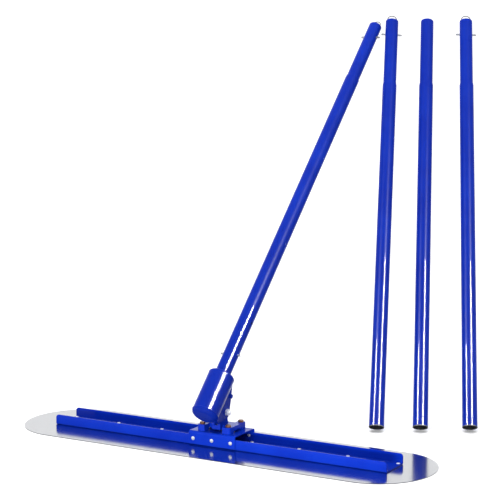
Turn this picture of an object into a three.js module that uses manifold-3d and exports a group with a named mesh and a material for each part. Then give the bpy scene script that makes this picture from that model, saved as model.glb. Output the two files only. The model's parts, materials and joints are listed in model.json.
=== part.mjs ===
// Long-handled concrete float: a round-ended steel blade stiffened by a channel, a worm-geared tilting
// head on a bridge, and a handle of four plug-together sections, one fitted and three standing beside it.
// Millimetres, +Z up. Origin: centre of the blade's underside. +X runs along the blade, +Y towards the user.
import * as THREE from "three";
import { mergeVertices } from "three/addons/utils/BufferGeometryUtils.js";
import Module from "manifold-3d";

const wasm = await Module();
wasm.setup();

// ---- Driving dimensions ----------------------------------------------------------------------------
const GAP = 0.3; // gap between pieces that turn or slide on each other
const SEAT = 0.05; // gap between pieces that are bolted or riveted flat together

const BLADE = { length: 1220, width: 320, endDepth: 150, thick: 1.5 };
const CHANNEL = { length: 1012, width: 98, top: 29.5, thick: 3, cornerRadius: 9 };
const BRIDGE = { length: 141, top: 40, bottom: 5, thick: 3.5, bendRadius: 6 };
const RIVET = { shank: 2.6, hole: 3, head: 5, dome: 2.4, bladePitch: 142, bladeCount: 8, rowY: 38 };
const BRIDGE_RIVET = { pitch: 57, z: 20, head: 5.2 };

const BASE_BOLT = { x: 39.5, y: 33, shank: 4, hole: 4.4, headAcross: 13, headHeight: 5.5, nutHeight: 6.5 };
const BASE = {
  underside: 45.5, top: 57.5, webFront: -16,
  padInner: 27, padOuter: 50, padY: 22, padEnd: 44, round: 7,
};

const TILT = THREE.MathUtils.degToRad(45.3); // the handle's lean from upright as it stands
const PIVOT = { y: -10, z: 90, shank: 5, bore: 5.3, headAcross: 17, headHeight: 6.4, nutHeight: 8 };
const LUG = { inner: 5.5, outer: 13, radius: 15, footFront: -30, footRear: 12 };
const CHEEK = {
  inner: 14, outer: 20.5, radius: 17, sweepGap: 1.5,
  cornerY: -11.5, cornerZ: -45, // its lower front corner
  heelY: 3, heelZ: -30.5, // where its slanting underside meets the round eye
};
const CHEEK_SCREW = { y: -12.5, z: 43, shank: 3.2, hole: 3.5, across: 11, head: 4, nut: 4.5 };

const WORM = { pitchRadius: 15, leadTurns: 5, length: 58, coreRadius: 11.2, shaft: 14 };
const JOURNAL = { lower: 8, upper: 18.3 };
const GEAR = { module: 3, teeth: 30, face: 8, sideTeeth: 4, hubRadius: 15, backlash: 0.35 };
const GEAR_RADIUS = (GEAR.module * GEAR.teeth) / 2;
const LEAD = Math.PI * GEAR.module; // one turn of the single-start worm moves one tooth
const CENTRE_DISTANCE = WORM.pitchRadius + GEAR_RADIUS;
const ADDENDUM = GEAR.module;
const DEDENDUM = 1.18 * GEAR.module;
const FLANK = Math.tan(THREE.MathUtils.degToRad(20));
const TOOTH_HALF = LEAD / 4 - GEAR.backlash; // half a tooth's thickness on the pitch line

// Heights in the head are measured along the handle's axis from the pivot.
const HOUSING = { radius: 36, bore: 32, bottom: -46, top: 71 };
const BOTTOM_CAP = { depth: 11, flat: 20, plugTop: -31, bore: 11, boreFloor: -44 };
const TOP_CAP = { height: 5, flat: 30, plugDepth: 5, bushRadius: 22 };

const POLE = {
  radius: 21, wall: 1.2, length: 1280,
  neck: 211, neckRadius: 19.4, taper: 9,
  socketHoles: [61, 166], // the lower pair takes the pins; the upper pair is the shorter setting
};
const STUB = { length: 108, wall: 1.4 };
const PIN = { radius: 3, hole: 3.4, inner: 15.5, tip: 31, shoulder: 4.5, shoulderEnd: 17.2 };
const CLIP = { armX: 13.8, wire: 1.4, fromNeckEnd: 47, rise: 65 };

// Loose sections: where each stands on the floor, and the way it leans.
const SECTIONS = {
  second: { foot: [298.8, 324.1], lean: [-0.1987, 0.4796, 0.8547], clip: true },
  third: { foot: [403.4, 382.8], lean: [-0.2086, 0.4754, 0.8547], clip: false },
  fourth: { foot: [521.4, 449.1], lean: [-0.2216, 0.4694, 0.8547], clip: true },
};
const SECTION_PINS_ALONG = new THREE.Vector3(0.87, 0.5, 0); // loose sections' pins point this way

// ---- Materials -------------------------------------------------------------------------------------
const paint = new THREE.MeshStandardMaterial({ color: 0x1436b4, roughness: 0.22, metalness: 0.1 });
const steel = new THREE.MeshStandardMaterial({ color: 0xc8cacc, roughness: 0.16, metalness: 1 });
const zinc = new THREE.MeshStandardMaterial({ color: 0xd9dadd, roughness: 0.3, metalness: 1 });
const copper = new THREE.MeshStandardMaterial({ color: 0x9a5a3c, roughness: 0.4, metalness: 1 });
const machined = new THREE.MeshStandardMaterial({ color: 0x8d9094, roughness: 0.35, metalness: 1 });
const bronze = new THREE.MeshStandardMaterial({ color: 0xb08a4a, roughness: 0.4, metalness: 1 });

// ---- Geometry helpers ------------------------------------------------------------------------------
function solidOf(geometry) {
  const bare = geometry.index ? geometry.toNonIndexed() : geometry.clone();
  bare.deleteAttribute("normal");
  bare.deleteAttribute("uv");
  const merged = mergeVertices(bare, 1e-3);
  return new wasm.Manifold(
    new wasm.Mesh({
      numProp: 3,
      vertProperties: merged.attributes.position.array,
      triVerts: new Uint32Array(merged.index.array),
    }),
  );
}

function meshOf(name, solid, material) {
  const { numProp, numVert, vertProperties, triVerts } = solid.getMesh();
  const positions = new Float32Array(numVert * 3);
  for (let i = 0; i < numVert; i++) {
    positions.set(vertProperties.subarray(i * numProp, i * numProp + 3), i * 3);
  }
  const geometry = new THREE.BufferGeometry();
  geometry.setAttribute("position", new THREE.BufferAttribute(positions, 3));
  geometry.setIndex(new THREE.BufferAttribute(triVerts, 1));
  geometry.computeVertexNormals();
  const mesh = new THREE.Mesh(geometry, material);
  mesh.name = name;
  return mesh;
}

function box(x0, x1, y0, y1, z0, z1) {
  const geometry = new THREE.BoxGeometry(x1 - x0, y1 - y0, z1 - z0);
  return solidOf(geometry.translate((x0 + x1) / 2, (y0 + y1) / 2, (z0 + z1) / 2));
}

function rod(radius, z0, z1, segments = 24) {
  const geometry = new THREE.CylinderGeometry(radius, radius, z1 - z0, segments);
  return solidOf(geometry.rotateX(Math.PI / 2).translate(0, 0, (z0 + z1) / 2));
}

function rodX(radius, x0, x1, segments = 24) {
  const geometry = new THREE.CylinderGeometry(radius, radius, x1 - x0, segments);
  return solidOf(geometry.rotateZ(Math.PI / 2).translate((x0 + x1) / 2, 0, 0));
}

function hex(acrossFlats, z0, z1) {
  return rod(acrossFlats / Math.sqrt(3), z0, z1, 6);
}

// Turns a list of [radius, z] points about the Z axis; the list starts and ends on the axis or closes itself.
function turned(profile, segments = 40) {
  const points = profile.map(([r, z]) => new THREE.Vector2(r, z));
  return solidOf(new THREE.LatheGeometry(points, segments).rotateX(Math.PI / 2));
}

function pipe(outer, inner, z0, z1, segments = 40) {
  return turned([[inner, z0], [outer, z0], [outer, z1], [inner, z1], [inner, z0]], segments);
}

// Extrudes a shape drawn in (y, z) along x from x0 to x1.
function slabX(shape, x0, x1, curveSegments = 10, steps = 1) {
  const geometry = new THREE.ExtrudeGeometry(shape, {
    depth: x1 - x0,
    bevelEnabled: false,
    curveSegments,
    steps,
  });
  const toYZ = new THREE.Matrix4().makeBasis(
    new THREE.Vector3(0, 1, 0),
    new THREE.Vector3(0, 0, 1),
    new THREE.Vector3(1, 0, 0),
  );
  return solidOf(geometry.applyMatrix4(toYZ).translate(x0, 0, 0));
}

function unionOf(solids) {
  return solids.reduce((sum, solid) => sum.add(solid));
}

// ---- Blade, channel and bridge ---------------------------------------------------------------------
function bladeRivetPlaces() {
  const places = [];
  for (const side of [-1, 1]) {
    for (let i = 0; i < RIVET.bladeCount; i++) {
      places.push([(i - (RIVET.bladeCount - 1) / 2) * RIVET.bladePitch, side * RIVET.rowY]);
    }
  }
  return places;
}

function bridgeRivetPlaces() {
  const places = [];
  for (const side of [-1, 1]) {
    for (const step of [-1, 0, 1]) places.push([step * BRIDGE_RIVET.pitch, side]);
  }
  return places;
}

function basePlaces() {
  const { x, y } = BASE_BOLT;
  return [[-x, -y], [x, -y], [-x, y], [x, y]];
}

function drilled(solid, places, radius, z0, z1) {
  return unionOf([solid]).subtract(
    unionOf(places.map(([x, y]) => rod(radius, z0, z1, 12).translate([x, y, 0]))),
  );
}

function drilledForBridgeRivets(solid) {
  const reach = CHANNEL.width;
  const holes = [-1, 0, 1].map((step) =>
    rod(RIVET.hole, -reach, reach, 12)
      .rotate([90, 0, 0])
      .translate([step * BRIDGE_RIVET.pitch, 0, BRIDGE_RIVET.z]),
  );
  return solid.subtract(unionOf(holes));
}

function blade() {
  const { length, width, endDepth, thick } = BLADE;
  const shape = new THREE.Shape();
  const straight = length / 2 - endDepth;
  shape.moveTo(-straight, -width / 2);
  shape.lineTo(straight, -width / 2);
  shape.absellipse(straight, 0, endDepth, width / 2, -Math.PI / 2, Math.PI / 2);
  shape.lineTo(-straight, width / 2);
  shape.absellipse(-straight, 0, endDepth, width / 2, Math.PI / 2, (3 * Math.PI) / 2);
  const plate = new THREE.ExtrudeGeometry(shape, { depth: thick, bevelEnabled: false, curveSegments: 28 });
  return drilled(solidOf(plate), bladeRivetPlaces(), RIVET.hole, -1, thick + 1);
}

const channelBottom = BLADE.thick + SEAT;
const channelFloor = channelBottom + CHANNEL.thick;

function channel() {
  const { length, width, top, thick, cornerRadius } = CHANNEL;
  const half = length / 2;
  const body = box(-half, half, -width / 2, width / 2, channelBottom, top);
  const hollow = box(-half - 1, half + 1, thick - width / 2, width / 2 - thick, channelFloor, top + 1);
  const corner = new THREE.Shape();
  corner.moveTo(half - cornerRadius, top + 1);
  corner.lineTo(half - cornerRadius, top);
  corner.absarc(half - cornerRadius, top - cornerRadius, cornerRadius, Math.PI / 2, 0, true);
  corner.lineTo(half + 1, top - cornerRadius);
  corner.lineTo(half + 1, top + 1);
  const wedge = new THREE.ExtrudeGeometry(corner, { depth: width + 2, bevelEnabled: false, curveSegments: 6 });
  const right = solidOf(wedge.rotateX(Math.PI / 2).translate(0, width / 2 + 1, 0));
  const trimmed = body.subtract(hollow).subtract(right).subtract(right.mirror([1, 0, 0]));
  const drilledFloor = drilled(trimmed, bladeRivetPlaces(), RIVET.hole, 0, channelFloor + 1);
  return drilledForBridgeRivets(drilledFloor);
}

// An inverted U that straddles the channel's two walls.
function bridge() {
  const { length, top, bottom, thick, bendRadius } = BRIDGE;
  const section = (halfWidth, height, radius) => {
    const shape = new THREE.Shape();
    shape.moveTo(-halfWidth, bottom);
    shape.lineTo(halfWidth, bottom);
    shape.lineTo(halfWidth, height - radius);
    shape.absarc(halfWidth - radius, height - radius, radius, 0, Math.PI / 2);
    shape.lineTo(-halfWidth + radius, height);
    shape.absarc(-halfWidth + radius, height - radius, radius, Math.PI / 2, Math.PI);
    return shape;
  };
  const inner = CHANNEL.width / 2 + SEAT;
  const outer = slabX(section(inner + thick, top, bendRadius), -length / 2, length / 2, 6);
  const hollow = slabX(section(inner, top - thick, bendRadius - thick), -length / 2 - 1, length / 2 + 1, 6);
  const open = hollow.add(hollow.translate([0, 0, -thick]));
  const shell = drilledForBridgeRivets(outer.subtract(open));
  return drilled(shell, basePlaces(), BASE_BOLT.hole, top - thick - 1, top + 1);
}

// A rivet along Z: flush foot at z 0, shank, and a domed head that starts at seat.
function rivet(seat, headRadius, tailRadius = RIVET.shank, tail = 0) {
  const head = seat + SEAT;
  const profile = [
    [0, -tail],
    [tailRadius, -tail],
    ...(tail ? [[tailRadius, -SEAT], [RIVET.shank, -SEAT]] : []),
    [RIVET.shank, head],
    [headRadius, head],
    [headRadius * 0.86, head + RIVET.dome * 0.6],
    [headRadius * 0.45, head + RIVET.dome],
    [0, head + RIVET.dome],
  ];
  return turned(profile, 12);
}

function addFloat(parent) {
  parent.add(meshOf("blade", blade(), steel));
  parent.add(meshOf("stiffener_channel", channel(), paint));
  parent.add(meshOf("bridge", bridge(), paint));
  bladeRivetPlaces().forEach(([x, y], i) => {
    const mesh = meshOf(`blade_rivet_${i + 1}`, rivet(channelFloor, RIVET.head), zinc);
    mesh.position.set(x, y, 0);
    parent.add(mesh);
  });
  const wallDepth = CHANNEL.thick + BRIDGE.thick + SEAT;
  const wallInside = CHANNEL.width / 2 - CHANNEL.thick;
  bridgeRivetPlaces().forEach(([x, side], i) => {
    const solid = rivet(wallDepth, BRIDGE_RIVET.head, RIVET.head * 0.8, 2.2);
    const mesh = meshOf(`bridge_rivet_${i + 1}`, solid, zinc);
    mesh.rotation.x = (-side * Math.PI) / 2;
    mesh.position.set(x, side * wallInside, BRIDGE_RIVET.z);
    parent.add(mesh);
  });
}

// One long side of the base: a rounded plate that stands on the bridge through a pad at each end.
function wing(side) {
  const { underside, top, padInner, padOuter, padY, padEnd, round } = BASE;
  const seat = BRIDGE.top + SEAT;
  const shape = new THREE.Shape();
  shape.moveTo(padInner, -padEnd);
  shape.lineTo(padOuter - round, -padEnd);
  shape.absarc(padOuter - round, -padEnd + round, round, -Math.PI / 2, 0);
  shape.lineTo(padOuter, padEnd - round);
  shape.absarc(padOuter - round, padEnd - round, round, 0, Math.PI / 2);
  shape.lineTo(padInner, padEnd);
  const plate = new THREE.ExtrudeGeometry(shape, { depth: top - seat, bevelEnabled: false, curveSegments: 5 });
  const arch = box(padInner - 1, padOuter + 1, -padY, padY, seat - 1, underside);
  const solid = solidOf(plate.translate(0, 0, seat)).subtract(arch);
  return side > 0 ? solid : solid.mirror([1, 0, 0]);
}

// Side view of a pedestal lug: a foot on the base that narrows to a round eye at the pivot.
function lugShape() {
  const { radius, footFront, footRear } = LUG;
  const shape = new THREE.Shape();
  shape.moveTo(footFront, BASE.underside);
  shape.lineTo(footRear, BASE.underside);
  shape.lineTo(footRear, BASE.top);
  shape.lineTo(PIVOT.y + radius, PIVOT.z);
  shape.absarc(PIVOT.y, PIVOT.z, radius, 0, Math.PI);
  shape.lineTo(footFront, BASE.top);
  return shape;
}

function pivotHole(radius) {
  return rodX(radius, -60, 60, 20).translate([0, PIVOT.y, PIVOT.z]);
}

function baseBracket() {
  const { underside, top, padInner, padY, webFront } = BASE;
  const web = box(-padInner - 1, padInner + 1, webFront, padY, underside, top);
  const foot = box(-LUG.outer, LUG.outer, LUG.footFront, LUG.footRear, underside, top);
  const lugs = [-1, 1].map((side) => {
    const lug = slabX(lugShape(), LUG.inner, LUG.outer, 14);
    return side > 0 ? lug : lug.mirror([1, 0, 0]);
  });
  const body = unionOf([web, foot, wing(1), wing(-1), ...lugs]);
  return drilled(body.subtract(pivotHole(PIVOT.bore)), basePlaces(), BASE_BOLT.hole, 30, 70);
}

// One gear blank corner at a polar angle, measured from the direction that faces the worm.
function gearPoint(radius, angle) {
  return new THREE.Vector2(-radius * Math.cos(angle), radius * Math.sin(angle));
}

// The sector is drawn in the head's own (y, z) plane about the pivot, with its middle tooth facing the worm.
function gearSector() {
  const toothAngle = (2 * Math.PI) / GEAR.teeth;
  const root = GEAR_RADIUS - DEDENDUM;
  const tip = GEAR_RADIUS + ADDENDUM;
  const atRoot = (TOOTH_HALF + DEDENDUM * FLANK) / GEAR_RADIUS;
  const atTip = (TOOTH_HALF - ADDENDUM * FLANK) / GEAR_RADIUS;
  const limit = (GEAR.sideTeeth + 0.5) * toothAngle;
  const points = [gearPoint(GEAR.hubRadius, -limit * 1.4), gearPoint(root, -limit)];
  for (let tooth = -GEAR.sideTeeth; tooth <= GEAR.sideTeeth; tooth++) {
    const middle = tooth * toothAngle;
    points.push(gearPoint(root, middle - atRoot), gearPoint(tip, middle - atTip));
    points.push(gearPoint(tip, middle + atTip), gearPoint(root, middle + atRoot));
  }
  points.push(gearPoint(root, limit), gearPoint(GEAR.hubRadius, limit * 1.4));
  const half = GEAR.face / 2;
  const blank = slabX(new THREE.Shape(points), -half, half, 4, 4);
  const twist = LEAD / (2 * Math.PI * WORM.pitchRadius) / GEAR_RADIUS; // radians per mm of face
  const helical = blank.warp((vertex) => {
    const [x, y, z] = vertex;
    const turn = x * twist;
    vertex[1] = y * Math.cos(turn) - z * Math.sin(turn);
    vertex[2] = y * Math.sin(turn) + z * Math.cos(turn);
  });
  const hub = LUG.inner - GAP;
  const placed = unionOf([helical, rodX(GEAR.hubRadius - 2, -hub, hub, 28)])
    .rotate([-THREE.MathUtils.radToDeg(TILT), 0, 0])
    .translate([0, PIVOT.y, PIVOT.z]);
  const stem = box(-half, half, PIVOT.y - 12, PIVOT.y + 10, BASE.top + SEAT, PIVOT.z);
  return placed.add(stem).subtract(pivotHole(PIVOT.bore));
}

function hexBolt(across, headHeight, shank, length) {
  return hex(across, 0, headHeight).add(rod(shank, -length, 1, 16));
}

function hexNut(across, height, bore) {
  return hex(across, 0, height).subtract(rod(bore, -1, height + 1, 16));
}

function addBase(parent) {
  parent.add(meshOf("base_bracket", baseBracket(), paint));
  parent.add(meshOf("toothed_sector", gearSector(), machined));
  const nutTop = BRIDGE.top - BRIDGE.thick - SEAT;
  basePlaces().forEach(([x, y], i) => {
    const reach = BASE.top + SEAT - (nutTop - BASE_BOLT.nutHeight - 3);
    const bolt = meshOf(
      `base_bolt_${i + 1}`,
      hexBolt(BASE_BOLT.headAcross, BASE_BOLT.headHeight, BASE_BOLT.shank, reach),
      copper,
    );
    bolt.position.set(x, y, BASE.top + SEAT);
    parent.add(bolt);
    const bore = BASE_BOLT.shank + GAP;
    const nut = meshOf(`base_nut_${i + 1}`, hexNut(BASE_BOLT.headAcross, BASE_BOLT.nutHeight, bore), zinc);
    nut.position.set(x, y, nutTop - BASE_BOLT.nutHeight);
    parent.add(nut);
  });
  const grip = CHEEK.outer + GAP;
  const turnToX = (mesh, x) => {
    mesh.rotation.y = Math.PI / 2;
    mesh.position.set(x, PIVOT.y, PIVOT.z);
    parent.add(mesh);
  };
  const reach = 2 * grip + PIVOT.nutHeight + 5;
  const bolt = hex(PIVOT.headAcross, -PIVOT.headHeight, 0).add(rod(PIVOT.shank, -1, reach, 20));
  turnToX(meshOf("pivot_bolt", bolt, zinc), -grip);
  turnToX(meshOf("pivot_nut", hexNut(PIVOT.headAcross, PIVOT.nutHeight, PIVOT.shank + GAP), zinc), grip);
}

// ---- Tilting head (its own frame: origin on the pivot, +Z along the handle, worm axis at -Y) ---------
const wormY = -CENTRE_DISTANCE;

// Side view of a cheek plate: it hangs from the housing's wall, drops to a blunt corner in front and ends
// in a round eye at the pivot.
function cheekShape() {
  const { radius, cornerY, cornerZ, heelY, heelZ } = CHEEK;
  const wall = wormY + HOUSING.radius;
  const embedded = wall - 9;
  const shape = new THREE.Shape();
  shape.moveTo(embedded, HOUSING.bottom + 1);
  shape.lineTo(cornerY, cornerZ);
  shape.lineTo(heelY, heelZ);
  shape.absarc(0, 0, radius, THREE.MathUtils.degToRad(-75), THREE.MathUtils.degToRad(29));
  shape.lineTo(wall - 0.5, HOUSING.top - 1);
  shape.lineTo(embedded, HOUSING.top - 1);
  return shape;
}

// The room the sector needs inside the housing as the head tilts.
function gearSweep() {
  const half = GEAR.face / 2 + CHEEK.sweepGap;
  return rodX(GEAR_RADIUS + ADDENDUM + CHEEK.sweepGap, -half, half, 48);
}

function housing() {
  const { radius, bore, bottom, top } = HOUSING;
  const tube = rod(radius, bottom, top, 48).translate([0, wormY, 0]);
  const cheeks = [-1, 1].map((side) => {
    const plate = slabX(cheekShape(), CHEEK.inner, CHEEK.outer, 14);
    return side > 0 ? plate : plate.mirror([1, 0, 0]);
  });
  const inside = rod(bore, bottom - 1, top + 1, 48).translate([0, wormY, 0]);
  const eye = rodX(PIVOT.bore, -60, 60, 20);
  const screwHole = rodX(CHEEK_SCREW.hole, 0, 60, 14).translate([0, CHEEK_SCREW.y, CHEEK_SCREW.z]);
  return unionOf([tube, ...cheeks]).subtract(unionOf([inside, gearSweep(), eye, screwHole]));
}

// A dished cover with a rolled rim on the housing's lower end, and a blind seat in it for the lower bush.
function bottomCap() {
  const { depth, flat, plugTop, bore, boreFloor } = BOTTOM_CAP;
  const plug = HOUSING.bore - SEAT;
  const seat = HOUSING.bottom - SEAT;
  const cover = turned([
    ...rolledRim(flat, depth).map(([r, rise]) => [r, seat - rise]),
    [plug, seat],
    [plug, plugTop],
    [bore + SEAT, plugTop],
    [bore + SEAT, boreFloor],
    [0, boreFloor],
  ], 48);
  return cover.subtract(gearSweep().translate([0, -wormY, 0]));
}

// Points [radius, rise] from a cover's crown, over its rolled rim, to its edge on the housing.
function rolledRim(flat, height) {
  const points = flat > 25 ? [] : [[0, height]];
  for (let angle = 90; angle >= 0; angle -= 15) {
    const turn = THREE.MathUtils.degToRad(angle);
    points.push([flat + (HOUSING.radius - flat) * Math.cos(turn), height * Math.sin(turn)]);
  }
  return points;
}

function topCap() {
  const { height, flat, plugDepth, bushRadius } = TOP_CAP;
  const plug = HOUSING.bore - SEAT;
  const seat = HOUSING.top + SEAT;
  const inner = bushRadius + SEAT;
  return turned([
    [inner, seat - plugDepth],
    [plug, seat - plugDepth],
    [plug, seat],
    ...rolledRim(flat, height).reverse().map(([r, rise]) => [r, seat + rise]),
    [inner, seat + height],
    [inner, seat - plugDepth],
  ], 48);
}

function addHead(parent) {
  parent.add(meshOf("gear_housing", housing(), paint));
  const { bore, boreFloor, plugTop } = BOTTOM_CAP;
  const lowerBush = pipe(bore, JOURNAL.lower + GAP, boreFloor + SEAT, plugTop, 28);
  const upperBush = pipe(TOP_CAP.bushRadius, JOURNAL.upper + GAP, HOUSING.top - 5, HOUSING.top + 7, 36);
  const pieces = [
    ["housing_bottom_cap", bottomCap(), paint],
    ["housing_top_cap", topCap(), paint],
    ["lower_bush", lowerBush, bronze],
    ["upper_bush", upperBush, bronze],
  ];
  for (const [name, solid, material] of pieces) {
    const mesh = meshOf(name, solid, material);
    mesh.position.y = wormY;
    parent.add(mesh);
  }
  const { across, shank, head: headHeight, nut, y, z } = CHEEK_SCREW;
  const screw = unionOf([
    hex(across, CHEEK.outer + SEAT, CHEEK.outer + SEAT + headHeight),
    rod(shank, CHEEK.inner - nut + 0.5, CHEEK.outer + 1, 16),
    hex(across, CHEEK.inner - nut, CHEEK.inner - SEAT),
  ]);
  const mesh = meshOf("cheek_screw", screw.rotate([0, 90, 0]), zinc);
  mesh.position.set(0, y, z);
  parent.add(mesh);
}

// ---- Worm shaft and handle sections (frames with +Z along the handle) --------------------------------
// A single-start thread swept round the worm's core; its middle gap faces +Y at z 0.
function wormThread() {
  const perTurn = 20;
  const count = WORM.leadTurns * perTurn;
  const rootRadius = WORM.coreRadius - 1;
  const tipRadius = WORM.pitchRadius + ADDENDUM;
  const halfAt = (radius) => TOOTH_HALF - (radius - WORM.pitchRadius) * FLANK;
  const corners = [
    [rootRadius, -halfAt(rootRadius)],
    [tipRadius, -halfAt(tipRadius)],
    [tipRadius, halfAt(tipRadius)],
    [rootRadius, halfAt(rootRadius)],
  ];
  const positions = [];
  for (let i = 0; i <= count; i++) {
    const turn = (i / perTurn) * 2 * Math.PI + Math.PI / 2;
    const z = (i / perTurn - WORM.leadTurns / 2) * LEAD;
    for (const [radius, dz] of corners) {
      positions.push(radius * Math.cos(turn), radius * Math.sin(turn), z + dz);
    }
  }
  const index = [0, 1, 2, 0, 2, 3];
  for (let i = 0; i < count; i++) {
    for (let k = 0; k < 4; k++) {
      const [a, b] = [4 * i + k, 4 * i + ((k + 1) % 4)];
      index.push(a, a + 4, b, b, a + 4, b + 4);
    }
  }
  const last = 4 * count;
  index.push(last, last + 2, last + 1, last, last + 3, last + 2);
  const geometry = new THREE.BufferGeometry();
  geometry.setAttribute("position", new THREE.Float32BufferAttribute(positions, 3));
  geometry.setIndex(index);
  return solidOf(geometry);
}

const stubStart = HOUSING.top + TOP_CAP.height + 5.5;
const stubPinZ = stubStart + POLE.socketHoles[0];

function pinHoles(z) {
  return rodX(PIN.hole, -60, 60, 14).translate([0, 0, z]);
}

function wormShaft() {
  const { length, coreRadius, shaft } = WORM;
  const shoulder = length / 2;
  const stubEnd = stubStart + STUB.length;
  const inner = POLE.neckRadius - STUB.wall;
  const bearing = HOUSING.top - 7; // where the shaft swells to its upper journal
  const body = turned([
    [0, BOTTOM_CAP.boreFloor + 0.5],
    [JOURNAL.lower, BOTTOM_CAP.boreFloor + 0.5],
    [JOURNAL.lower, -shoulder],
    [coreRadius, -shoulder],
    [coreRadius, shoulder],
    [shaft, shoulder + 3],
    [shaft, bearing - 4],
    [JOURNAL.upper, bearing],
    [JOURNAL.upper, stubStart - 1],
    [POLE.neckRadius, stubStart - 0.5],
    [POLE.neckRadius, stubEnd],
    [inner, stubEnd],
    [inner, stubStart + 5],
    [0, stubStart + 5],
  ], 40);
  return body.add(wormThread()).subtract(pinHoles(stubPinZ));
}

// A handle section from its socket end at z 0 to the end of its swaged neck.
function handleSection(hasClip) {
  const { radius, wall, length, neck, neckRadius, taper, socketHoles } = POLE;
  const lip = 2.5; // the neck's end is rolled in a little
  const tube = turned([
    [radius - wall, 0],
    [radius, 0],
    [radius, length - neck - taper],
    [neckRadius, length - neck],
    [neckRadius, length - lip],
    [neckRadius - 0.8, length - 0.6],
    [neckRadius - wall - 0.6, length],
    [neckRadius - wall - 0.6, length - lip],
    [neckRadius - wall, length - lip - 1],
    [neckRadius - wall, length - neck + 1],
    [radius - wall, length - neck - taper - 1],
    [radius - wall, 0],
  ], 40);
  const socketed = tube.subtract(unionOf(socketHoles.map(pinHoles)));
  return hasClip ? socketed.subtract(pinHoles(length - CLIP.fromNeckEnd)) : socketed;
}

// A retaining pin that points along +X: a shoulder inside the tube and a rounded tip outside it.
function retainingPin() {
  const { radius, inner, shoulder, shoulderEnd, tip } = PIN;
  const nose = 1.6;
  return turned([
    [0, inner],
    [shoulder, inner],
    [shoulder, shoulderEnd],
    [radius, shoulderEnd],
    [radius, tip - nose],
    [radius * 0.62, tip - nose * 0.3],
    [0, tip],
  ], 14).rotate([0, 90, 0]);
}

// The hairpin of spring wire that pushes a pair of pins outwards; its bend is CLIP.rise above the pins.
function clipWire() {
  const { armX, wire, rise } = CLIP;
  const bendZ = rise - armX;
  const path = new THREE.CurvePath();
  const at = (x, z) => new THREE.Vector3(x, 0, z);
  path.add(new THREE.LineCurve3(at(-armX, -6), at(-armX, bendZ)));
  const kappa = 0.5523 * armX; // cubic that follows a quarter circle
  path.add(new THREE.CubicBezierCurve3(
    at(-armX, bendZ), at(-armX, bendZ + kappa), at(-kappa, rise), at(0, rise)));
  path.add(new THREE.CubicBezierCurve3(
    at(0, rise), at(kappa, rise), at(armX, bendZ + kappa), at(armX, bendZ)));
  path.add(new THREE.LineCurve3(at(armX, bendZ), at(armX, -6)));
  const section = new THREE.Shape().absarc(0, 0, wire, 0, 2 * Math.PI);
  return solidOf(new THREE.ExtrudeGeometry(section, { steps: 44, curveSegments: 4, extrudePath: path }));
}

function addClip(parent, label, pinZ) {
  const clip = new THREE.Group();
  clip.position.z = pinZ;
  clip.add(meshOf(`${label}_clip_wire`, clipWire(), zinc));
  clip.add(meshOf(`${label}_pin_right`, retainingPin(), zinc));
  const left = meshOf(`${label}_pin_left`, retainingPin(), zinc);
  left.rotation.z = Math.PI;
  clip.add(left);
  parent.add(clip);
}

function addRotor(parent) {
  parent.add(meshOf("worm_shaft", wormShaft(), machined));
  addClip(parent, "stub", stubPinZ);
  const section = new THREE.Group();
  section.position.z = stubStart;
  section.add(meshOf("handle_section_1", handleSection(true), paint));
  addClip(section, "section_1", POLE.length - CLIP.fromNeckEnd);
  parent.add(section);
}

function addLooseSection(parent, number, { foot, lean, clip }) {
  const axis = new THREE.Vector3(...lean).normalize();
  const across = SECTION_PINS_ALONG.clone().addScaledVector(axis, -axis.dot(SECTION_PINS_ALONG)).normalize();
  const group = new THREE.Group();
  const basis = new THREE.Matrix4().makeBasis(across, axis.clone().cross(across), axis);
  group.quaternion.setFromRotationMatrix(basis);
  const footRise = POLE.radius * Math.hypot(axis.x, axis.y); // so that the low side of the rim meets the floor
  group.position.set(foot[0], foot[1], footRise);
  group.add(meshOf(`handle_section_${number}`, handleSection(clip), paint));
  if (clip) addClip(group, `section_${number}`, POLE.length - CLIP.fromNeckEnd);
  parent.add(group);
}

// ---- Assembly --------------------------------------------------------------------------------------
const float = new THREE.Group();
addFloat(float);
addBase(float);

const head = new THREE.Group();
head.position.set(0, PIVOT.y, PIVOT.z);
head.rotation.x = -TILT;
addHead(head);
float.add(head);

const rotor = new THREE.Group();
rotor.position.y = wormY;
addRotor(rotor);
head.add(rotor);

addLooseSection(float, 2, SECTIONS.second);
addLooseSection(float, 3, SECTIONS.third);
addLooseSection(float, 4, SECTIONS.fourth);

export default float;
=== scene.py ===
"""Looks for the long-handled concrete float: refined meshes, procedural materials, studio and camera."""

import json
import math

import bmesh
import bpy
from mathutils import Matrix, Vector

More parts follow.
